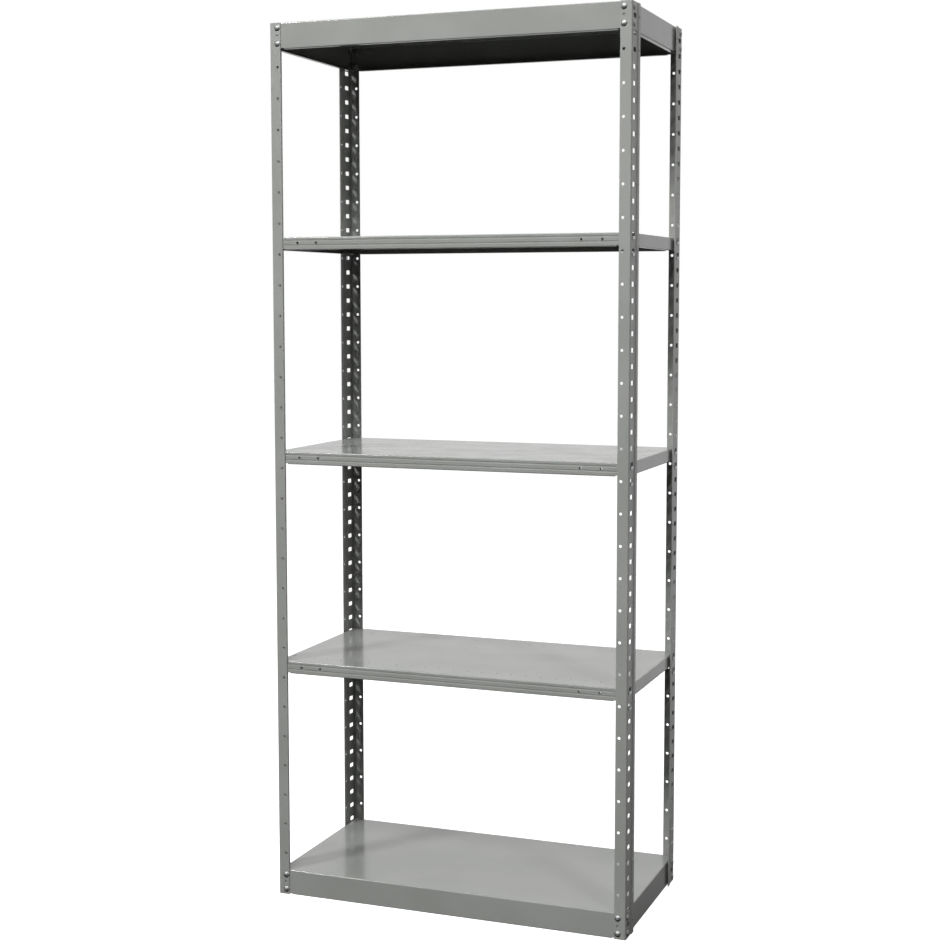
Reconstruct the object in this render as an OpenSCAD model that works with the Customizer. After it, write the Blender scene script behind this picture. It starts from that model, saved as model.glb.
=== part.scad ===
// Boltless steel shelving unit: four perforated angle posts, a deep-flanged
// shelf bolted in at the top and at the bottom, and three adjustable shelves
// that hang on clips in the post slots.
// +X is the unit's right, +Y its back, +Z up. The origin is at the middle of
// the footprint, on the floor. Lengths are in millimetres.
// A corner is drawn in its own frame: u runs inward from the outer side face,
// v runs inward from the outer front or rear face, z is up.

/* [Unit] */
// Nominal width of a shelf, side to side
shelf_w = 914.4; // [609.6:0.1:1219.2]
// Nominal depth of a shelf, front to back
shelf_d = 457.2; // [304.8:0.1:609.6]
// Height of the posts: the two end margins and a whole number of hole pitches
post_h = 2197.1; // [1968.5:76.2:2425.7]

/* [Posts] */
// Thickness of the post steel
post_t = 1.9; // [1.5:0.1:2.6]
// Width of the flange that faces the front or the rear
face_flange_w = 28.6; // [26:0.1:40]
// Width of the flange that faces the side
side_flange_w = 62; // [60:0.5:76]
// How far the outer strip of the side flange steps outward
flange_step = 2; // [1:0.1:2.5]
// Where the step in the side flange begins, from the corner
step_start = 43; // [42:0.5:45]
// Outer radius of the corner bend
post_bend_r = 3.5; // [3:0.1:4.5]

/* [Perforation] */
// Pitch of the round holes; the slots have half this pitch
hole_pitch = 76.2; // [76.2]
// Distance from a post's end to the first round hole
end_margin = 31.75; // [31.75]
// Diameter of the round holes in the front and rear flanges
face_hole_d = 7.2; // [6.8:0.1:8.5]
// Distance from the outer side face to the round holes
face_hole_u = 20; // [18:0.5:21]
// Diameter of the round holes in the side flange
side_hole_d = 6; // [4:0.1:8]
// Distance from the outer front or rear face to the side flange's round holes
side_hole_v = 54; // [52:0.5:56]
// Width of a slot
slot_w = 22; // [20:0.5:22]
// Height of a slot
slot_h = 11; // [10:0.1:14]
// Distance from the outer front or rear face to the middle of the slots
slot_v = 22; // [21:0.5:23]

/* [Shelves] */
// Thickness of the shelf steel
sheet_t = 1.2; // [0.8:0.1:1.5]
// Outer radius of the bends
bend_r = 2.5; // [2:0.1:3]
// Gap between a shelf's side and the post, which holds the clip
side_gap = 1.9; // [1.7:0.1:2.5]
// Flange height of the two bolted shelves
deep_h = 63.5; // [63.5]
// Flange height of the adjustable shelves
slim_h = 31.75; // [30:0.05:32]
// Width of the lip turned in along the bottom of a flange
lip_w = 12.7; // [10:0.1:16]
// Distance from a shelf's end to the end of its front and rear lips
lip_notch = 32; // [26:1:40]
// Play between an adjustable shelf and the posts, front and rear
slim_play = 0.3; // [0.3:0.1:0.6]

/* [Adjustable shelf details] */
// Height of the plain band above the upper groove of a front or rear flange
top_band_h = 6.6; // [5:0.1:7]
// Depth of the two grooves, whose sides slope at 45 degrees
groove_depth = 0.8; // [0.4:0.1:1.8]
// Height of a groove's floor
groove_floor = 2.6; // [1.2:0.1:2.8]
// Height of the strip between the two grooves
strip_h = 7.6; // [6.4:0.1:7.6]
// Diameter of the holes in the strip
strip_hole_d = 6; // [3:0.1:6.2]
// Distance from a shelf's end to the first strip hole
strip_hole_x = 65; // [60:1:90]
// Distance between the two strip holes at each end
strip_hole_gap = 50.8; // [25:0.1:60]
// Diameter of the holes in the deck
deck_hole_d = 4.2; // [3:0.1:6]
// Pitch of the holes in the two rows along the deck
deck_hole_pitch = 38.1; // [30:0.1:60]
// Distance from the deck's front or rear edge to its row of holes
deck_row_in = 50; // [40:1:60]
// Height of the return that closes the front and rear flanges to a box
return_h = 22; // [10:0.5:24]
// Diameter of the hole near each corner of the deck
corner_hole_d = 5; // [3:0.1:6]
// Distance from the deck's side edge to the corner hole
corner_hole_x = 12.7; // [10:0.1:16]
// Distance from the deck's front or rear edge to the corner hole
corner_hole_y = 68; // [66:1:90]
// Slot that the upper shelf's clips hang in, counted from the bottom
upper_slot = 43; // [35:1:45]
// Slot that the middle shelf's clips hang in
middle_slot = 29; // [25:1:31]
// Slot that the lower shelf's clips hang in
lower_slot = 15; // [5:1:20]
// Height of a shelf's top above the middle of the slot that holds it
shelf_rise = 4.5; // [4:0.1:5]

/* [Clips] */
// Thickness of the clip steel
clip_t = 1.5; // [1.2:0.1:1.5]
// Width of a clip
clip_w = 20; // [14:0.5:20]
// Width of the ledge that a shelf rests on
ledge_w = 14; // [8:0.5:15]
// How far the ledge reaches in from the clip's plate
ledge_l = 12.5; // [8:0.5:12.5]
// How far a hook reaches down outside the post
hook_drop = 5.5; // [3:0.5:5.5]

/* [Fasteners] */
// Diameter of a bolt's shank
bolt_d = 6.35; // [5:0.05:6.5]
// Length of a bolt's shank
bolt_l = 13; // [12:0.5:14]
// Diameter of a bolt's head
head_d = 15.5; // [12:0.5:16]
// Height of a bolt's domed head
head_h = 3.5; // [2.5:0.1:4]
// Width of the screwdriver slot
driver_w = 1.6; // [1:0.1:2]
// Depth of the screwdriver slot
driver_depth = 1.2; // [0.6:0.1:1.5]
// Nut size across its flats
nut_flats = 11.1; // [9:0.1:11.5]
// Thickness of a nut
nut_h = 5; // [4:0.1:5.5]
// Distance from a post's end to the first bolt
bolt_margin = 12.7; // [12.7]
// Distance from the outer front or rear face to the side flange's bolts
side_bolt_v = 15; // [13:0.5:18]

/* [Hidden] */
half_w = shelf_w / 2 + side_gap + post_t;
half_d = shelf_d / 2 + post_t;
slot_pitch = hole_pitch / 2;
n_holes = round((post_h - 2 * end_margin) / hole_pitch) + 1;
n_slots = 2 * n_holes - 1;
bolt_gap = deep_h - 2 * bolt_margin;
end_bolts = [bolt_margin, bolt_margin + bolt_gap];
bolt_levels = [for (z = end_bolts) each [z, post_h - z]];
bolt_hole_d = face_hole_d;
nut_bore_d = bolt_d + 0.2;
pad_d = head_d + 2;
step_end = step_start + 1.6 * flange_step;
slim_d = shelf_d - 2 * slim_play;
side_lip_end = 4;
deep_lip_end = 16;
miter = tan(22.5);
groove_w = 2 * groove_depth + groove_floor;
cut = 1;
$fn = 48;

ENAMEL = [0.62, 0.62, 0.60];
DECK = [0.66, 0.66, 0.64];
ZINC = [0.80, 0.82, 0.86];
CLIP = [0.72, 0.73, 0.75];

// Corners: -1 is left or front, 1 is right or rear
LEFT = -1;
RIGHT = 1;
FRONT = -1;
REAR = 1;

function hole_z(k) = end_margin + k * hole_pitch;
function slot_z(m) = end_margin + m * slot_pitch;
function shelf_z(m) = slot_z(m) + shelf_rise;

// ---------- frames ----------

// Turns the (u, v, z) frame of a corner into its place on the unit
module at_corner(side, end) {
    translate([side * half_w, end * half_d, 0])
        mirror([side > 0 ? 1 : 0, 0, 0])
            mirror([0, end > 0 ? 1 : 0, 0])
                children();
}

// A round cut of diameter d along v, through the front or rear flange
module face_bore(u, z, d) {
    translate([u, -cut, z])
        rotate([-90, 0, 0])
            cylinder(d = d, h = post_t + 2 * cut);
}

// A round cut of diameter d along u, through the side flange
module side_bore(v, z, d) {
    translate([-flange_step - cut, v, z])
        rotate([0, 90, 0])
            cylinder(d = d, h = flange_step + post_t + 2 * cut);
}

// ---------- posts ----------

// A quarter of a bend, with its centre at the origin, in quadrant (qx, qy)
module quarter_bend(r, t, qx, qy) {
    intersection() {
        difference() {
            circle(r = r);
            circle(r = r - t);
        }
        translate([qx < 0 ? -r : 0, qy < 0 ? -r : 0])
            square(r);
    }
}

// The post's cross-section: an angle whose side flange steps outward
module post_section() {
    translate([post_bend_r, post_bend_r])
        quarter_bend(post_bend_r, post_t, -1, -1);
    translate([post_bend_r, 0])
        square([face_flange_w - post_bend_r, post_t]);
    translate([0, post_bend_r])
        square([post_t, step_start - post_bend_r]);
    polygon([[0, step_start], [post_t, step_start],
        [post_t - flange_step, step_end], [-flange_step, step_end]]);
    translate([-flange_step, step_end])
        square([post_t, side_flange_w - step_end]);
}

module post() {
    color(ENAMEL)
        difference() {
            linear_extrude(post_h)
                post_section();
            for (k = [0 : n_holes - 1]) {
                face_bore(face_hole_u, hole_z(k), face_hole_d);
                side_bore(side_hole_v, hole_z(k), side_hole_d);
            }
            for (m = [0 : n_slots - 1])
                translate([-cut, slot_v - slot_w / 2, slot_z(m) - slot_h / 2])
                    cube([post_t + 2 * cut, slot_w, slot_h]);
            for (z = bolt_levels) {
                face_bore(face_hole_u, z, bolt_hole_d);
                side_bore(side_bolt_v, z, bolt_hole_d);
            }
        }
}

// ---------- shelves ----------
// A shelf is drawn with its top at z = 0. A flange profile is drawn with p
// running inward from the outer face and q up.

// Top bend and flat web
module plain_web(h) {
    translate([bend_r, -bend_r])
        quarter_bend(bend_r, sheet_t, -1, 1);
    translate([0, bend_r - h])
        square([sheet_t, h - 2 * bend_r]);
}

// The corners of one groove from the top down, on the face that is t behind
// the outer one; q is the height at which the groove begins
function groove(q, t) =
    let (shift = miter * t, deep = t + groove_depth)
    [[t, q + shift],
        [deep, q - groove_depth + shift],
        [deep, q - groove_depth - groove_floor - shift],
        [t, q - groove_w - shift]];

function reversed(list) = [for (i = [len(list) - 1 : -1 : 0]) list[i]];

// One face of the grooved web, from the top down
function grooved_face(h, t) =
    [[t, -bend_r], each groove(-top_band_h, t),
        each groove(-top_band_h - groove_w - strip_h, t), [t, bend_r - h]];

// Top bend and a web with two grooves pressed into it
module grooved_web(h) {
    translate([bend_r, -bend_r])
        quarter_bend(bend_r, sheet_t, -1, 1);
    polygon([each grooved_face(h, 0), each reversed(grooved_face(h, sheet_t))]);
}

// Bottom bend and the flat turned in from it, as far as reach
module lip(h, reach) {
    translate([bend_r, bend_r - h])
        quarter_bend(bend_r, sheet_t, -1, -1);
    translate([bend_r, -h])
        square([reach - bend_r, sheet_t]);
}

// A lip with a return turned up from it, behind the web
module boxed_lip(h) {
    lip(h, lip_w - bend_r);
    translate([lip_w - bend_r, bend_r - h])
        quarter_bend(bend_r, sheet_t, 1, -1);
    translate([lip_w - sheet_t, bend_r - h])
        square([sheet_t, return_h - bend_r]);
}

// Draws a profile along the front edge and along the rear edge
module along_front_and_rear(d, length) {
    for (turn = [0, 1])
        mirror([0, turn, 0])
            translate([0, -d / 2, 0])
                rotate([90, 0, 90])
                    linear_extrude(length, center = true)
                        children();
}

// Draws a profile along the left edge and along the right edge
module along_sides(w, length) {
    for (turn = [0, 1])
        mirror([turn, 0, 0])
            translate([-w / 2, 0, 0])
                rotate([90, 0, 0])
                    linear_extrude(length, center = true)
                        children();
}

module deck(w, d) {
    translate([bend_r - w / 2, bend_r - d / 2, -sheet_t])
        cube([w - 2 * bend_r, d - 2 * bend_r, sheet_t]);
}

// Puts its children at each of the four corners of a deep shelf
module deep_corners() {
    for (side = [LEFT, RIGHT], end = [FRONT, REAR])
        at_corner(side, end)
            children();
}

// The deep shelf that is bolted to all four posts; its pads fill the side gap
module deep_shelf() {
    side_face = post_t + side_gap;
    difference() {
        union() {
            deck(shelf_w, shelf_d);
            along_front_and_rear(shelf_d, shelf_w - 2 * bend_r)
                plain_web(deep_h);
            along_front_and_rear(shelf_d, shelf_w - 2 * lip_notch)
                lip(deep_h, lip_w);
            along_sides(shelf_w, shelf_d - 2 * bend_r)
                plain_web(deep_h);
            along_sides(shelf_w, shelf_d - 2 * deep_lip_end)
                lip(deep_h, lip_w);
            for (z = end_bolts)
                deep_corners()
                    translate([post_t, side_bolt_v, -z])
                        rotate([0, 90, 0])
                            cylinder(d = pad_d, h = side_gap + sheet_t / 2);
        }
        for (z = end_bolts)
            deep_corners() {
                translate([face_hole_u, post_t - cut, -z])
                    rotate([-90, 0, 0])
                        cylinder(d = bolt_hole_d, h = sheet_t + 2 * cut);
                translate([post_t - cut, side_bolt_v, -z])
                    rotate([0, 90, 0])
                        cylinder(d = bolt_hole_d, h = side_gap + sheet_t + 2 * cut);
            }
    }
}

// A round cut of diameter d through the deck at (x, y)
module deck_bore(x, y, d) {
    translate([x, y, -sheet_t - cut])
        cylinder(d = d, h = sheet_t + 2 * cut);
}

// A round cut at x through the strip of the front or rear flange and its return
module strip_bore(x, end) {
    translate([x, end * (slim_d / 2 + cut), -top_band_h - groove_w - strip_h / 2])
        rotate([end * 90, 0, 0])
            cylinder(d = strip_hole_d, h = lip_w + 2 * cut);
}

module slim_shelf() {
    row_y = slim_d / 2 - deck_row_in;
    n_half = floor((shelf_w / 2 - deck_row_in) / deck_hole_pitch);
    corner_x = shelf_w / 2 - corner_hole_x;
    corner_y = slim_d / 2 - corner_hole_y;
    difference() {
        union() {
            deck(shelf_w, slim_d);
            along_front_and_rear(slim_d, shelf_w - 2 * bend_r)
                grooved_web(slim_h);
            along_front_and_rear(slim_d, shelf_w - 2 * lip_notch)
                boxed_lip(slim_h);
            along_sides(shelf_w, slim_d - 2 * bend_r)
                plain_web(slim_h);
            along_sides(shelf_w, slim_d - 2 * side_lip_end)
                lip(slim_h, lip_w);
        }
        for (end = [FRONT, REAR]) {
            for (i = [-n_half : n_half])
                deck_bore(i * deck_hole_pitch, end * row_y, deck_hole_d);
            for (side = [LEFT, RIGHT]) {
                deck_bore(side * corner_x, end * corner_y, corner_hole_d);
                for (step = [0, strip_hole_gap])
                    strip_bore(side * (shelf_w / 2 - strip_hole_x - step), end);
            }
        }
    }
}

module bolted_shelf(z) {
    color(DECK)
        translate([0, 0, z])
            deep_shelf();
}

module hung_shelf(m) {
    color(DECK)
        translate([0, 0, shelf_z(m)])
            slim_shelf();
}

// ---------- clips ----------

// A strip that hooks out through two slots, with a ledge lanced from its
// plate. Drawn in the corner frame, with z = 0 at the middle of the upper slot.
module clip_shape() {
    seat = -slot_h / 2;
    top = seat + clip_t;
    ledge_top = shelf_rise - slim_h;
    plate_u = post_t;
    left = slot_v - clip_w / 2;
    // Plate inside the post, less the window that the ledge was lanced from
    difference() {
        translate([plate_u, left, seat - slot_pitch])
            cube([clip_t, clip_w, top - seat + slot_pitch]);
        translate([plate_u - cut, slot_v - ledge_w / 2, ledge_top - clip_t - ledge_l])
            cube([clip_t + 2 * cut, ledge_w, ledge_l]);
    }
    // Ledge under the shelf's lip
    translate([plate_u, slot_v - ledge_w / 2, ledge_top - clip_t])
        cube([clip_t + ledge_l, ledge_w, clip_t]);
    // Hooks over the lower edges of the two slots
    for (z = [seat, seat - slot_pitch]) {
        translate([-clip_t, left, z])
            cube([clip_t + plate_u + clip_t / 2, clip_w, clip_t]);
        translate([-clip_t, left, z - hook_drop])
            cube([clip_t, clip_w, hook_drop + clip_t]);
    }
}

module clip(m, side, end) {
    color(CLIP)
        at_corner(side, end)
            translate([0, 0, slot_z(m)])
                clip_shape();
}

// ---------- bolts and nuts ----------

// A slotted domed bolt: head below z = 0, shank above it
module bolt() {
    dome_r = (pow(head_h, 2) + pow(head_d / 2, 2)) / (2 * head_h);
    cylinder(d = bolt_d, h = bolt_l);
    difference() {
        intersection() {
            translate([0, 0, dome_r - head_h])
                sphere(r = dome_r, $fn = 64);
            translate([0, 0, -head_h])
                cylinder(d = head_d, h = head_h);
        }
        translate([-head_d, -driver_w / 2, -head_h - cut])
            cube([2 * head_d, driver_w, driver_depth + cut]);
    }
}

module nut() {
    difference() {
        cylinder(d = nut_flats / cos(30), h = nut_h, $fn = 6);
        translate([0, 0, -cut])
            cylinder(d = nut_bore_d, h = nut_h + 2 * cut);
    }
}

// Two bolts or nuts through the face flange, face_depth in from its outside,
// and two through the side flange, side_depth in
module four_at(z_list, face_depth, side_depth) {
    for (z = z_list) {
        translate([face_hole_u, face_depth, z])
            rotate([-90, 0, 0])
                children();
        translate([side_depth, side_bolt_v, z])
            rotate([0, 90, 0])
                children();
    }
}

function level_bolts(top) = [for (z = end_bolts) top ? post_h - z : z];

module bolts(top, side, end) {
    color(ZINC)
        at_corner(side, end)
            four_at(level_bolts(top), 0, 0)
                bolt();
}

module nuts(top, side, end) {
    color(ZINC)
        at_corner(side, end)
            four_at(level_bolts(top), post_t + sheet_t, post_t + side_gap + sheet_t)
                nut();
}

// ---------- sub-parts ----------

module post_front_left() { at_corner(LEFT, FRONT) post(); }
module post_front_right() { at_corner(RIGHT, FRONT) post(); }
module post_rear_left() { at_corner(LEFT, REAR) post(); }
module post_rear_right() { at_corner(RIGHT, REAR) post(); }
module top_shelf() { bolted_shelf(post_h); }
module bottom_shelf() { bolted_shelf(deep_h); }
module upper_shelf() { hung_shelf(upper_slot); }
module middle_shelf() { hung_shelf(middle_slot); }
module lower_shelf() { hung_shelf(lower_slot); }

post_front_left();
post_front_right();
post_rear_left();
post_rear_right();
top_shelf();
bottom_shelf();
upper_shelf();
middle_shelf();
lower_shelf();
clip(upper_slot, LEFT, FRONT);  // clip_upper_front_left
clip(upper_slot, RIGHT, FRONT);  // clip_upper_front_right
clip(upper_slot, LEFT, REAR);  // clip_upper_rear_left
clip(upper_slot, RIGHT, REAR);  // clip_upper_rear_right
clip(middle_slot, LEFT, FRONT);  // clip_middle_front_left
clip(middle_slot, RIGHT, FRONT);  // clip_middle_front_right
clip(middle_slot, LEFT, REAR);  // clip_middle_rear_left
clip(middle_slot, RIGHT, REAR);  // clip_middle_rear_right
clip(lower_slot, LEFT, FRONT);  // clip_lower_front_left
clip(lower_slot, RIGHT, FRONT);  // clip_lower_front_right
clip(lower_slot, LEFT, REAR);  // clip_lower_rear_left
clip(lower_slot, RIGHT, REAR);  // clip_lower_rear_right
bolts(true, LEFT, FRONT);  // bolts_top_front_left
bolts(true, RIGHT, FRONT);  // bolts_top_front_right
bolts(true, LEFT, REAR);  // bolts_top_rear_left
bolts(true, RIGHT, REAR);  // bolts_top_rear_right
bolts(false, LEFT, FRONT);  // bolts_bottom_front_left
bolts(false, RIGHT, FRONT);  // bolts_bottom_front_right
bolts(false, LEFT, REAR);  // bolts_bottom_rear_left
bolts(false, RIGHT, REAR);  // bolts_bottom_rear_right
nuts(true, LEFT, FRONT);  // nuts_top_front_left
nuts(true, RIGHT, FRONT);  // nuts_top_front_right
nuts(true, LEFT, REAR);  // nuts_top_rear_left
nuts(true, RIGHT, REAR);  // nuts_top_rear_right
nuts(false, LEFT, FRONT);  // nuts_bottom_front_left
nuts(false, RIGHT, FRONT);  // nuts_bottom_front_right
nuts(false, LEFT, REAR);  // nuts_bottom_rear_left
nuts(false, RIGHT, REAR);  // nuts_bottom_rear_right
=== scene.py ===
import math

import bpy
from mathutils import Euler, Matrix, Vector


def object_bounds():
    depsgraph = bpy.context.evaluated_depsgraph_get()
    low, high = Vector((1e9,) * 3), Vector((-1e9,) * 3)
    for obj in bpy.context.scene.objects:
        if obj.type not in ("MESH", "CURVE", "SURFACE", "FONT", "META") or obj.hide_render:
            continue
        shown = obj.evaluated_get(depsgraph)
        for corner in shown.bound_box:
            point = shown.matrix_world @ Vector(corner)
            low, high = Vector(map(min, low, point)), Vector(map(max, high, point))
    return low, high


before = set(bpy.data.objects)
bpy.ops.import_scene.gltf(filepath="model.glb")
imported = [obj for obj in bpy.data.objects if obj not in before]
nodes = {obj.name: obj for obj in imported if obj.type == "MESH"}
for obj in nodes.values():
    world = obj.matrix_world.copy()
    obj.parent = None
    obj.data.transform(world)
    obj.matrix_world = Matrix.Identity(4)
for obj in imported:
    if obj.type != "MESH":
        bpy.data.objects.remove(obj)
cad_low, cad_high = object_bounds()
middle = (cad_low + cad_high) / 2

# ---------- camera: where it stands from the unit's foot, and its lens ----------
CAMERA_PLACE = Vector((1.5267, -4.0292, 1.5243))
CAMERA_TURN = math.radians(20.87)
CAMERA_DIP = math.radians(5.19)
CAMERA_ROLL = math.radians(0.04)
SENSOR = 36.0
LENS = 64.46
SHIFT_DOWN = -0.0237
CLIP_END = 60.0

# ---------- colours ----------
ENAMEL = (0.295, 0.305, 0.288, 1.0)
ENAMEL_PALE = (0.325, 0.333, 0.318, 1.0)
ENAMEL_WORN = (0.47, 0.475, 0.46, 1.0)
ZINC = (0.38, 0.39, 0.40, 1.0)
ZINC_WARM = (0.36, 0.355, 0.33, 1.0)
CLIP_STEEL = (0.55, 0.56, 0.57, 1.0)
CLIP_DARK = (0.40, 0.41, 0.43, 1.0)
FLOOR_GREY = (0.60, 0.60, 0.60, 1.0)
FLOOR_PALE = (0.62, 0.62, 0.62, 1.0)
WHITE = (1.0, 1.0, 1.0, 1.0)

# ---------- enamel ----------
# A SCALE is a noise's features to the metre, a BAND is the part of the noise that a
# look fades across, a GLOSS is a lowest and highest roughness, depths are in metres.
TONE_SCALE = 5.0
TONE_BAND = (0.35, 0.68)
CLOUD_SCALE = 14.0
CLOUD_BAND = (0.3, 0.7)
NIB_SCALE = 420.0
NIB_BAND = (0.74, 0.80)
NIB_STRENGTH = 0.35
WEAR_SCALE = 55.0
WEAR_BAND = (0.38, 0.62)
WEAR_WIDTH = 0.0012
WEAR_STRENGTH = 0.25
WEAR_DULLING = 0.12
SHEET_SCALE = 6.5
PEEL_SCALE = 620.0
PEEL_DEPTH = 0.00004
COAT_ROUGHNESS = 0.08
POST_ENAMEL = {"gloss": (0.28, 0.38), "coat": 0.05, "sheet_wave": 0.0001}
SHELF_ENAMEL = {"gloss": (0.16, 0.25), "coat": 0.25, "sheet_wave": 0.00012}

# How far the rounded normal agrees with the flat one on a flat face and at an edge
EDGE_BAND = (0.999, 0.85)

# ---------- zinc and clip steel ----------
CAST_SCALE = 160.0
CAST_BAND = (0.45, 0.72)
PLATE_SCALE = 500.0
PLATE_BAND = (0.3, 0.7)
PLATE_GLOSS = (0.44, 0.60)
GRAIN_SCALE = 1400.0
GRAIN_DEPTH = 0.00003
ROLLING_SCALE = 60.0
ROLLING_STRETCH = (14, 14, 0.6)
ROLLING_BAND = (0.3, 0.7)
ROLLING_DEPTH = 0.00005
CLIP_GLOSS = (0.28, 0.46)

# ---------- floor ----------
FLOOR_HALF = 14.0
FLOOR_GAP = 0.0005
FLOOR_GLOW = 0.88
FLOOR_ROUGHNESS = 0.7
FLOOR_SCALE = 3.0
FLOOR_BAND = (0.3, 0.7)

# ---------- lights: name, place, width and height, power in watts ----------
LIGHTS = (
    ("left_key", (-7.4, -11.2, 9.2), (2.4, 2.4), 1400.0),
    ("right_key", (7.6, -6.9, 9.6), (1.8, 1.8), 340.0),
    ("front_bank", (0.2, -4.8, 6.4), (3.4, 1.6), 290.0),
    ("overhead", (0.0, 0.3, 5.2), (3.4, 2.6), 70.0),
)

# ---------- surroundings: levels, and the directions between which they change ----------
ROOM_LEVEL = 0.08
SWEEP_LEVEL = 0.76
DIFFUSE_SHARE = 0.5
ROOM_TO_SWEEP = (-0.30, 0.45)
FLOOR_LINE = (-0.42, -0.16)
HORIZON = (-0.02, 0.10)

# The Mix node's colour sockets
MIX_A, MIX_B, MIX_RESULT = 6, 7, 2


# ---------- node helpers ----------

def set_ramp(node, band, levels):
    """Makes a Map Range node fade from the first of levels to the second across band."""
    for name, number in zip(("From Min", "From Max", "To Min", "To Max"), (*band, *levels)):
        node.inputs[name].default_value = number


class Surface:
    """A material whose look is built from nodes, with one Principled shader at its end."""

    def __init__(self, name, metallic, coat=0.0):
        self.material = bpy.data.materials.new(name)
        self.material.use_nodes = True
        self.tree = self.material.node_tree
        self.shader = self.tree.nodes["Principled BSDF"]
        self.shader.inputs["Metallic"].default_value = metallic
        self.shader.inputs["Coat Weight"].default_value = coat
        self.shader.inputs["Coat Roughness"].default_value = COAT_ROUGHNESS
        self.place = self.tree.nodes.new("ShaderNodeTexCoord").outputs["Object"]

    def node(self, kind, **settings):
        """A new node of the given kind, with its settings."""
        made = self.tree.nodes.new(kind)
        for name, value in settings.items():
            setattr(made, name, value)
        return made

    def link(self, output, target):
        """Links a node's output to another's input."""
        self.tree.links.new(output, target)

    def noise(self, scale, detail=2.0, stretch=(1, 1, 1)):
        """Noise with about scale features to the metre, squeezed by stretch."""
        mapping = self.node("ShaderNodeMapping")
        mapping.inputs["Scale"].default_value = stretch
        texture = self.node("ShaderNodeTexNoise")
        texture.inputs["Scale"].default_value = scale
        texture.inputs["Detail"].default_value = detail
        self.link(self.place, mapping.inputs["Vector"])
        self.link(mapping.outputs["Vector"], texture.inputs["Vector"])
        return texture.outputs["Fac"]

    def fade(self, value, band, levels=(0.0, 1.0)):
        """Fades smoothly from one level to the other as value crosses the band."""
        made = self.node("ShaderNodeMapRange", interpolation_type="SMOOTHSTEP")
        set_ramp(made, band, levels)
        self.link(value, made.inputs["Value"])
        return made.outputs["Result"]

    def math(self, operation, a, b):
        """The operation on a and b, each a number or another node's output."""
        made = self.node("ShaderNodeMath", operation=operation)
        for socket, value in zip(made.inputs, (a, b)):
            if isinstance(value, (int, float)):
                socket.default_value = value
            else:
                self.link(value, socket)
        return made.outputs["Value"]

    def mix(self, factor, a, b):
        """A colour between a and b, each a colour or another node's output."""
        made = self.node("ShaderNodeMix", data_type="RGBA")
        self.link(factor, made.inputs["Factor"])
        for socket, value in zip((made.inputs[MIX_A], made.inputs[MIX_B]), (a, b)):
            if isinstance(value, tuple):
                socket.default_value = value
            else:
                self.link(value, socket)
        return made.outputs[MIX_RESULT]

    def edges(self, radius):
        """1 along sharp edges, falling to 0 at radius metres from them."""
        bevel = self.node("ShaderNodeBevel", samples=6)
        bevel.inputs["Radius"].default_value = radius
        flat = self.node("ShaderNodeNewGeometry")
        dot = self.node("ShaderNodeVectorMath", operation="DOT_PRODUCT")
        self.link(bevel.outputs["Normal"], dot.inputs[0])
        self.link(flat.outputs["Normal"], dot.inputs[1])
        return self.fade(dot.outputs["Value"], EDGE_BAND)

    def bumps(self, *layers):
        """Each layer is a height from 0 to 1 and its depth in metres."""
        normal = None
        for height_map, depth in layers:
            bump = self.node("ShaderNodeBump")
            bump.inputs["Strength"].default_value = 1.0
            bump.inputs["Distance"].default_value = depth
            self.link(height_map, bump.inputs["Height"])
            if normal:
                self.link(normal, bump.inputs["Normal"])
            normal = bump.outputs["Normal"]
        self.link(normal, self.shader.inputs["Normal"])

    def finish(self, colour, roughness):
        """Links the colour and the roughness to the shader and gives the material."""
        self.link(colour, self.shader.inputs["Base Color"])
        self.link(roughness, self.shader.inputs["Roughness"])
        return self.material


# ---------- looks ----------

def enamel(name, gloss, coat, sheet_wave):
    """Baked grey enamel on sheet steel: orange peel, a slow waviness of the sheet,
    a little unevenness of tone, fine dust nibs, and thinner paint along the edges."""
    s = Surface(name, metallic=0.0, coat=coat)
    tone = s.fade(s.noise(TONE_SCALE, detail=4.0), TONE_BAND)
    paint = s.mix(tone, ENAMEL, ENAMEL_PALE)
    nibs = s.fade(s.noise(NIB_SCALE, detail=1.0), NIB_BAND)
    paint = s.mix(s.math("MULTIPLY", nibs, NIB_STRENGTH), paint, ENAMEL_WORN)
    patchy = s.fade(s.noise(WEAR_SCALE, detail=5.0), WEAR_BAND)
    worn = s.math("MULTIPLY", s.edges(WEAR_WIDTH), patchy)
    paint = s.mix(s.math("MULTIPLY", worn, WEAR_STRENGTH), paint, ENAMEL_WORN)
    cloudy = s.fade(s.noise(CLOUD_SCALE, detail=6.0), CLOUD_BAND, gloss)
    roughness = s.math("ADD", cloudy, s.math("MULTIPLY", worn, WEAR_DULLING))
    s.bumps((s.noise(SHEET_SCALE, detail=1.0), sheet_wave),
            (s.noise(PEEL_SCALE, detail=2.0), PEEL_DEPTH))
    return s.finish(paint, roughness)


def bright_zinc(name):
    """Bright zinc plate with the faint straw cast of its passivation."""
    s = Surface(name, metallic=1.0)
    cast = s.fade(s.noise(CAST_SCALE, detail=3.0), CAST_BAND)
    plate = s.mix(cast, ZINC, ZINC_WARM)
    roughness = s.fade(s.noise(PLATE_SCALE, detail=4.0), PLATE_BAND, PLATE_GLOSS)
    s.bumps((s.noise(GRAIN_SCALE, detail=3.0), GRAIN_DEPTH))
    return s.finish(plate, roughness)


def clip_steel(name):
    """Zinc-plated spring steel with rolling marks along the strip."""
    s = Surface(name, metallic=1.0)
    marks = s.noise(ROLLING_SCALE, detail=5.0, stretch=ROLLING_STRETCH)
    plate = s.mix(s.fade(marks, ROLLING_BAND), CLIP_STEEL, CLIP_DARK)
    roughness = s.fade(marks, ROLLING_BAND, CLIP_GLOSS)
    s.bumps((marks, ROLLING_DEPTH))
    return s.finish(plate, roughness)


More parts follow.
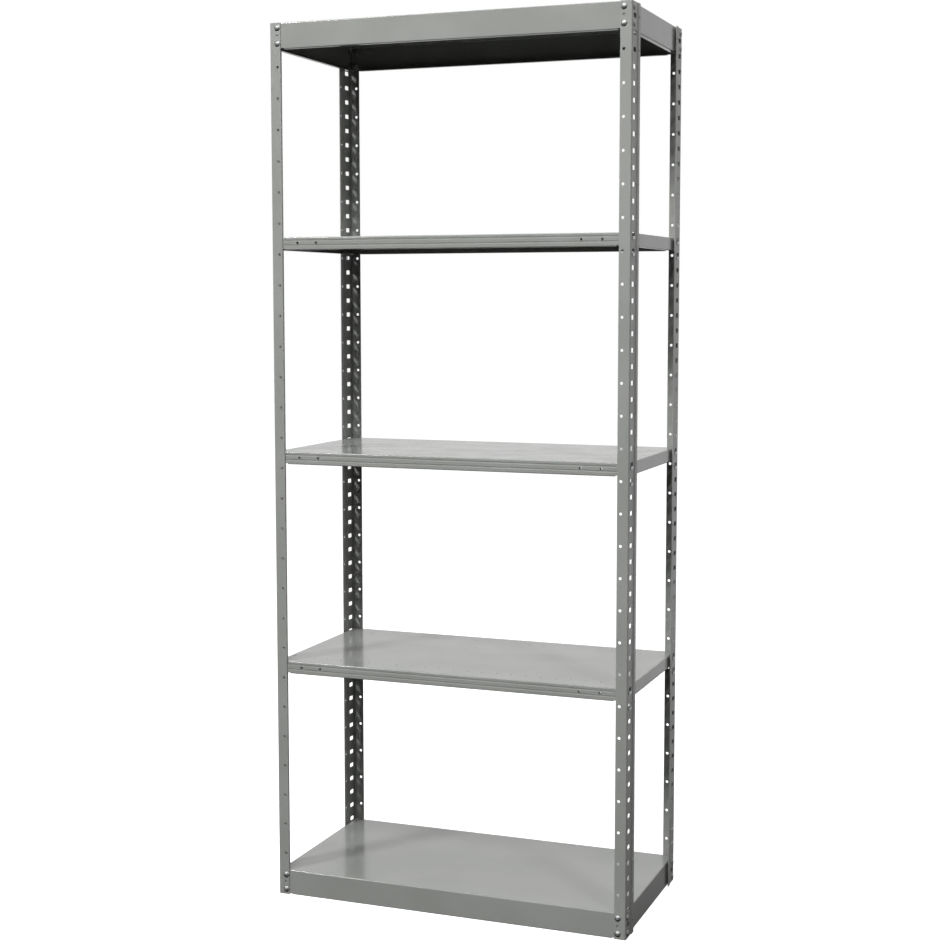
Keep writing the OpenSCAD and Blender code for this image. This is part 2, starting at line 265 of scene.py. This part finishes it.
def studio_floor(name):
    """A pale, softly glowing studio floor."""
    s = Surface(name, metallic=0.0)
    grain = s.fade(s.noise(FLOOR_SCALE, detail=2.0), FLOOR_BAND)
    s.shader.inputs["Roughness"].default_value = FLOOR_ROUGHNESS
    s.shader.inputs["Specular IOR Level"].default_value = 0.0
    s.shader.inputs["Emission Color"].default_value = WHITE
    s.shader.inputs["Emission Strength"].default_value = FLOOR_GLOW
    s.link(s.mix(grain, FLOOR_GREY, FLOOR_PALE), s.shader.inputs["Base Color"])
    return s.material


def paint_nodes():
    """Gives each CAD node its look; a node that isn't listed is a shelf."""
    shelf = enamel("shelf_enamel_look", **SHELF_ENAMEL)
    zinc = bright_zinc("bright_zinc_look")
    looks = {
        "post_": enamel("post_enamel_look", **POST_ENAMEL),
        "bolts_": zinc,
        "nuts_": zinc,
        "clip_": clip_steel("clip_steel_look"),
    }
    for name, thing in nodes.items():
        look = next((m for start, m in looks.items() if name.startswith(start)), shelf)
        for slot in thing.material_slots:
            slot.material = look


# ---------- the studio around the unit ----------

def floor():
    """A square floor just under the unit, which throws no light on it."""
    corners = [(-1, -1), (1, -1), (1, 1), (-1, 1)]
    mesh = bpy.data.meshes.new("studio_floor")
    mesh.from_pydata([(x * FLOOR_HALF, y * FLOOR_HALF, 0) for x, y in corners],
                     [], [(0, 1, 2, 3)])
    plane = bpy.data.objects.new("studio_floor", mesh)
    bpy.context.scene.collection.objects.link(plane)
    plane.data.materials.append(studio_floor("studio_floor_look"))
    plane.location.z = cad_low.z - FLOOR_GAP
    plane.visible_diffuse = False
    plane.visible_glossy = False


def softbox(name, place, aim, size, power):
    """A rectangular soft light at place, turned to aim, size = (width, height)."""
    lamp = bpy.data.lights.new(name, "AREA")
    lamp.shape = "RECTANGLE"
    lamp.size, lamp.size_y = size
    lamp.energy = power
    made = bpy.data.objects.new(name, lamp)
    bpy.context.scene.collection.objects.link(made)
    made.location = place
    made.rotation_euler = (aim - place).to_track_quat("-Z", "Y").to_euler()
    made.visible_camera = False


def lights():
    """The softboxes, all turned to the middle of the unit."""
    for name, place, size, power in LIGHTS:
        softbox(name, Vector(place), middle, size, power)


def surroundings():
    """White to the camera; to the object, a bright sweep behind it, a dimmer room in
    front, and a dark floor line."""
    world = bpy.data.worlds.new("studio_world")
    bpy.context.scene.world = world
    world.use_nodes = True
    tree = world.node_tree
    tree.nodes.clear()
    new = tree.nodes.new
    link = tree.links.new
    coords = new("ShaderNodeTexCoord")
    split = new("ShaderNodeSeparateXYZ")
    link(coords.outputs["Generated"], split.inputs[0])

    def ramp(socket, band, levels):
        made = new("ShaderNodeMapRange")
        made.interpolation_type = "SMOOTHSTEP"
        set_ramp(made, band, levels)
        link(socket, made.inputs["Value"])
        return made.outputs["Result"]

    def background(strength):
        made = new("ShaderNodeBackground")
        made.inputs["Color"].default_value = WHITE
        if isinstance(strength, float):
            made.inputs["Strength"].default_value = strength
        else:
            link(strength, made.inputs["Strength"])
        return made.outputs[0]

    def times(a, b):
        made = new("ShaderNodeMath")
        made.operation = "MULTIPLY"
        link(a, made.inputs[0])
        link(b, made.inputs[1])
        return made.outputs[0]

    def choose(switch, off, on):
        made = new("ShaderNodeMixShader")
        link(switch, made.inputs[0])
        link(off, made.inputs[1])
        link(on, made.inputs[2])
        return made.outputs[0]

    ahead, up = split.outputs["Y"], split.outputs["Z"]
    behind = ramp(ahead, ROOM_TO_SWEEP, (ROOM_LEVEL, SWEEP_LEVEL))
    mirrored = times(behind, ramp(up, FLOOR_LINE, (0.0, 1.0)))
    lighting = times(behind, ramp(up, HORIZON, (0.0, DIFFUSE_SHARE)))
    path = new("ShaderNodeLightPath")
    to_object = choose(path.outputs["Is Glossy Ray"], background(lighting), background(mirrored))
    to_all = choose(path.outputs["Is Camera Ray"], to_object, background(1.0))
    out = new("ShaderNodeOutputWorld")
    link(to_all, out.inputs["Surface"])


def camera():
    """The one camera, level but for its dip and roll."""
    data = bpy.data.cameras.new("camera")
    data.sensor_width = SENSOR
    data.lens = LENS
    data.shift_y = SHIFT_DOWN
    data.clip_end = CLIP_END
    made = bpy.data.objects.new("camera", data)
    bpy.context.scene.collection.objects.link(made)
    made.location = CAMERA_PLACE
    level = math.pi / 2
    made.rotation_euler = Euler((level - CAMERA_DIP, CAMERA_ROLL, CAMERA_TURN), "XYZ")
    bpy.context.scene.camera = made


camera()
paint_nodes()
floor()
lights()
surroundings()
bpy.context.scene.view_settings.view_transform = "Standard"
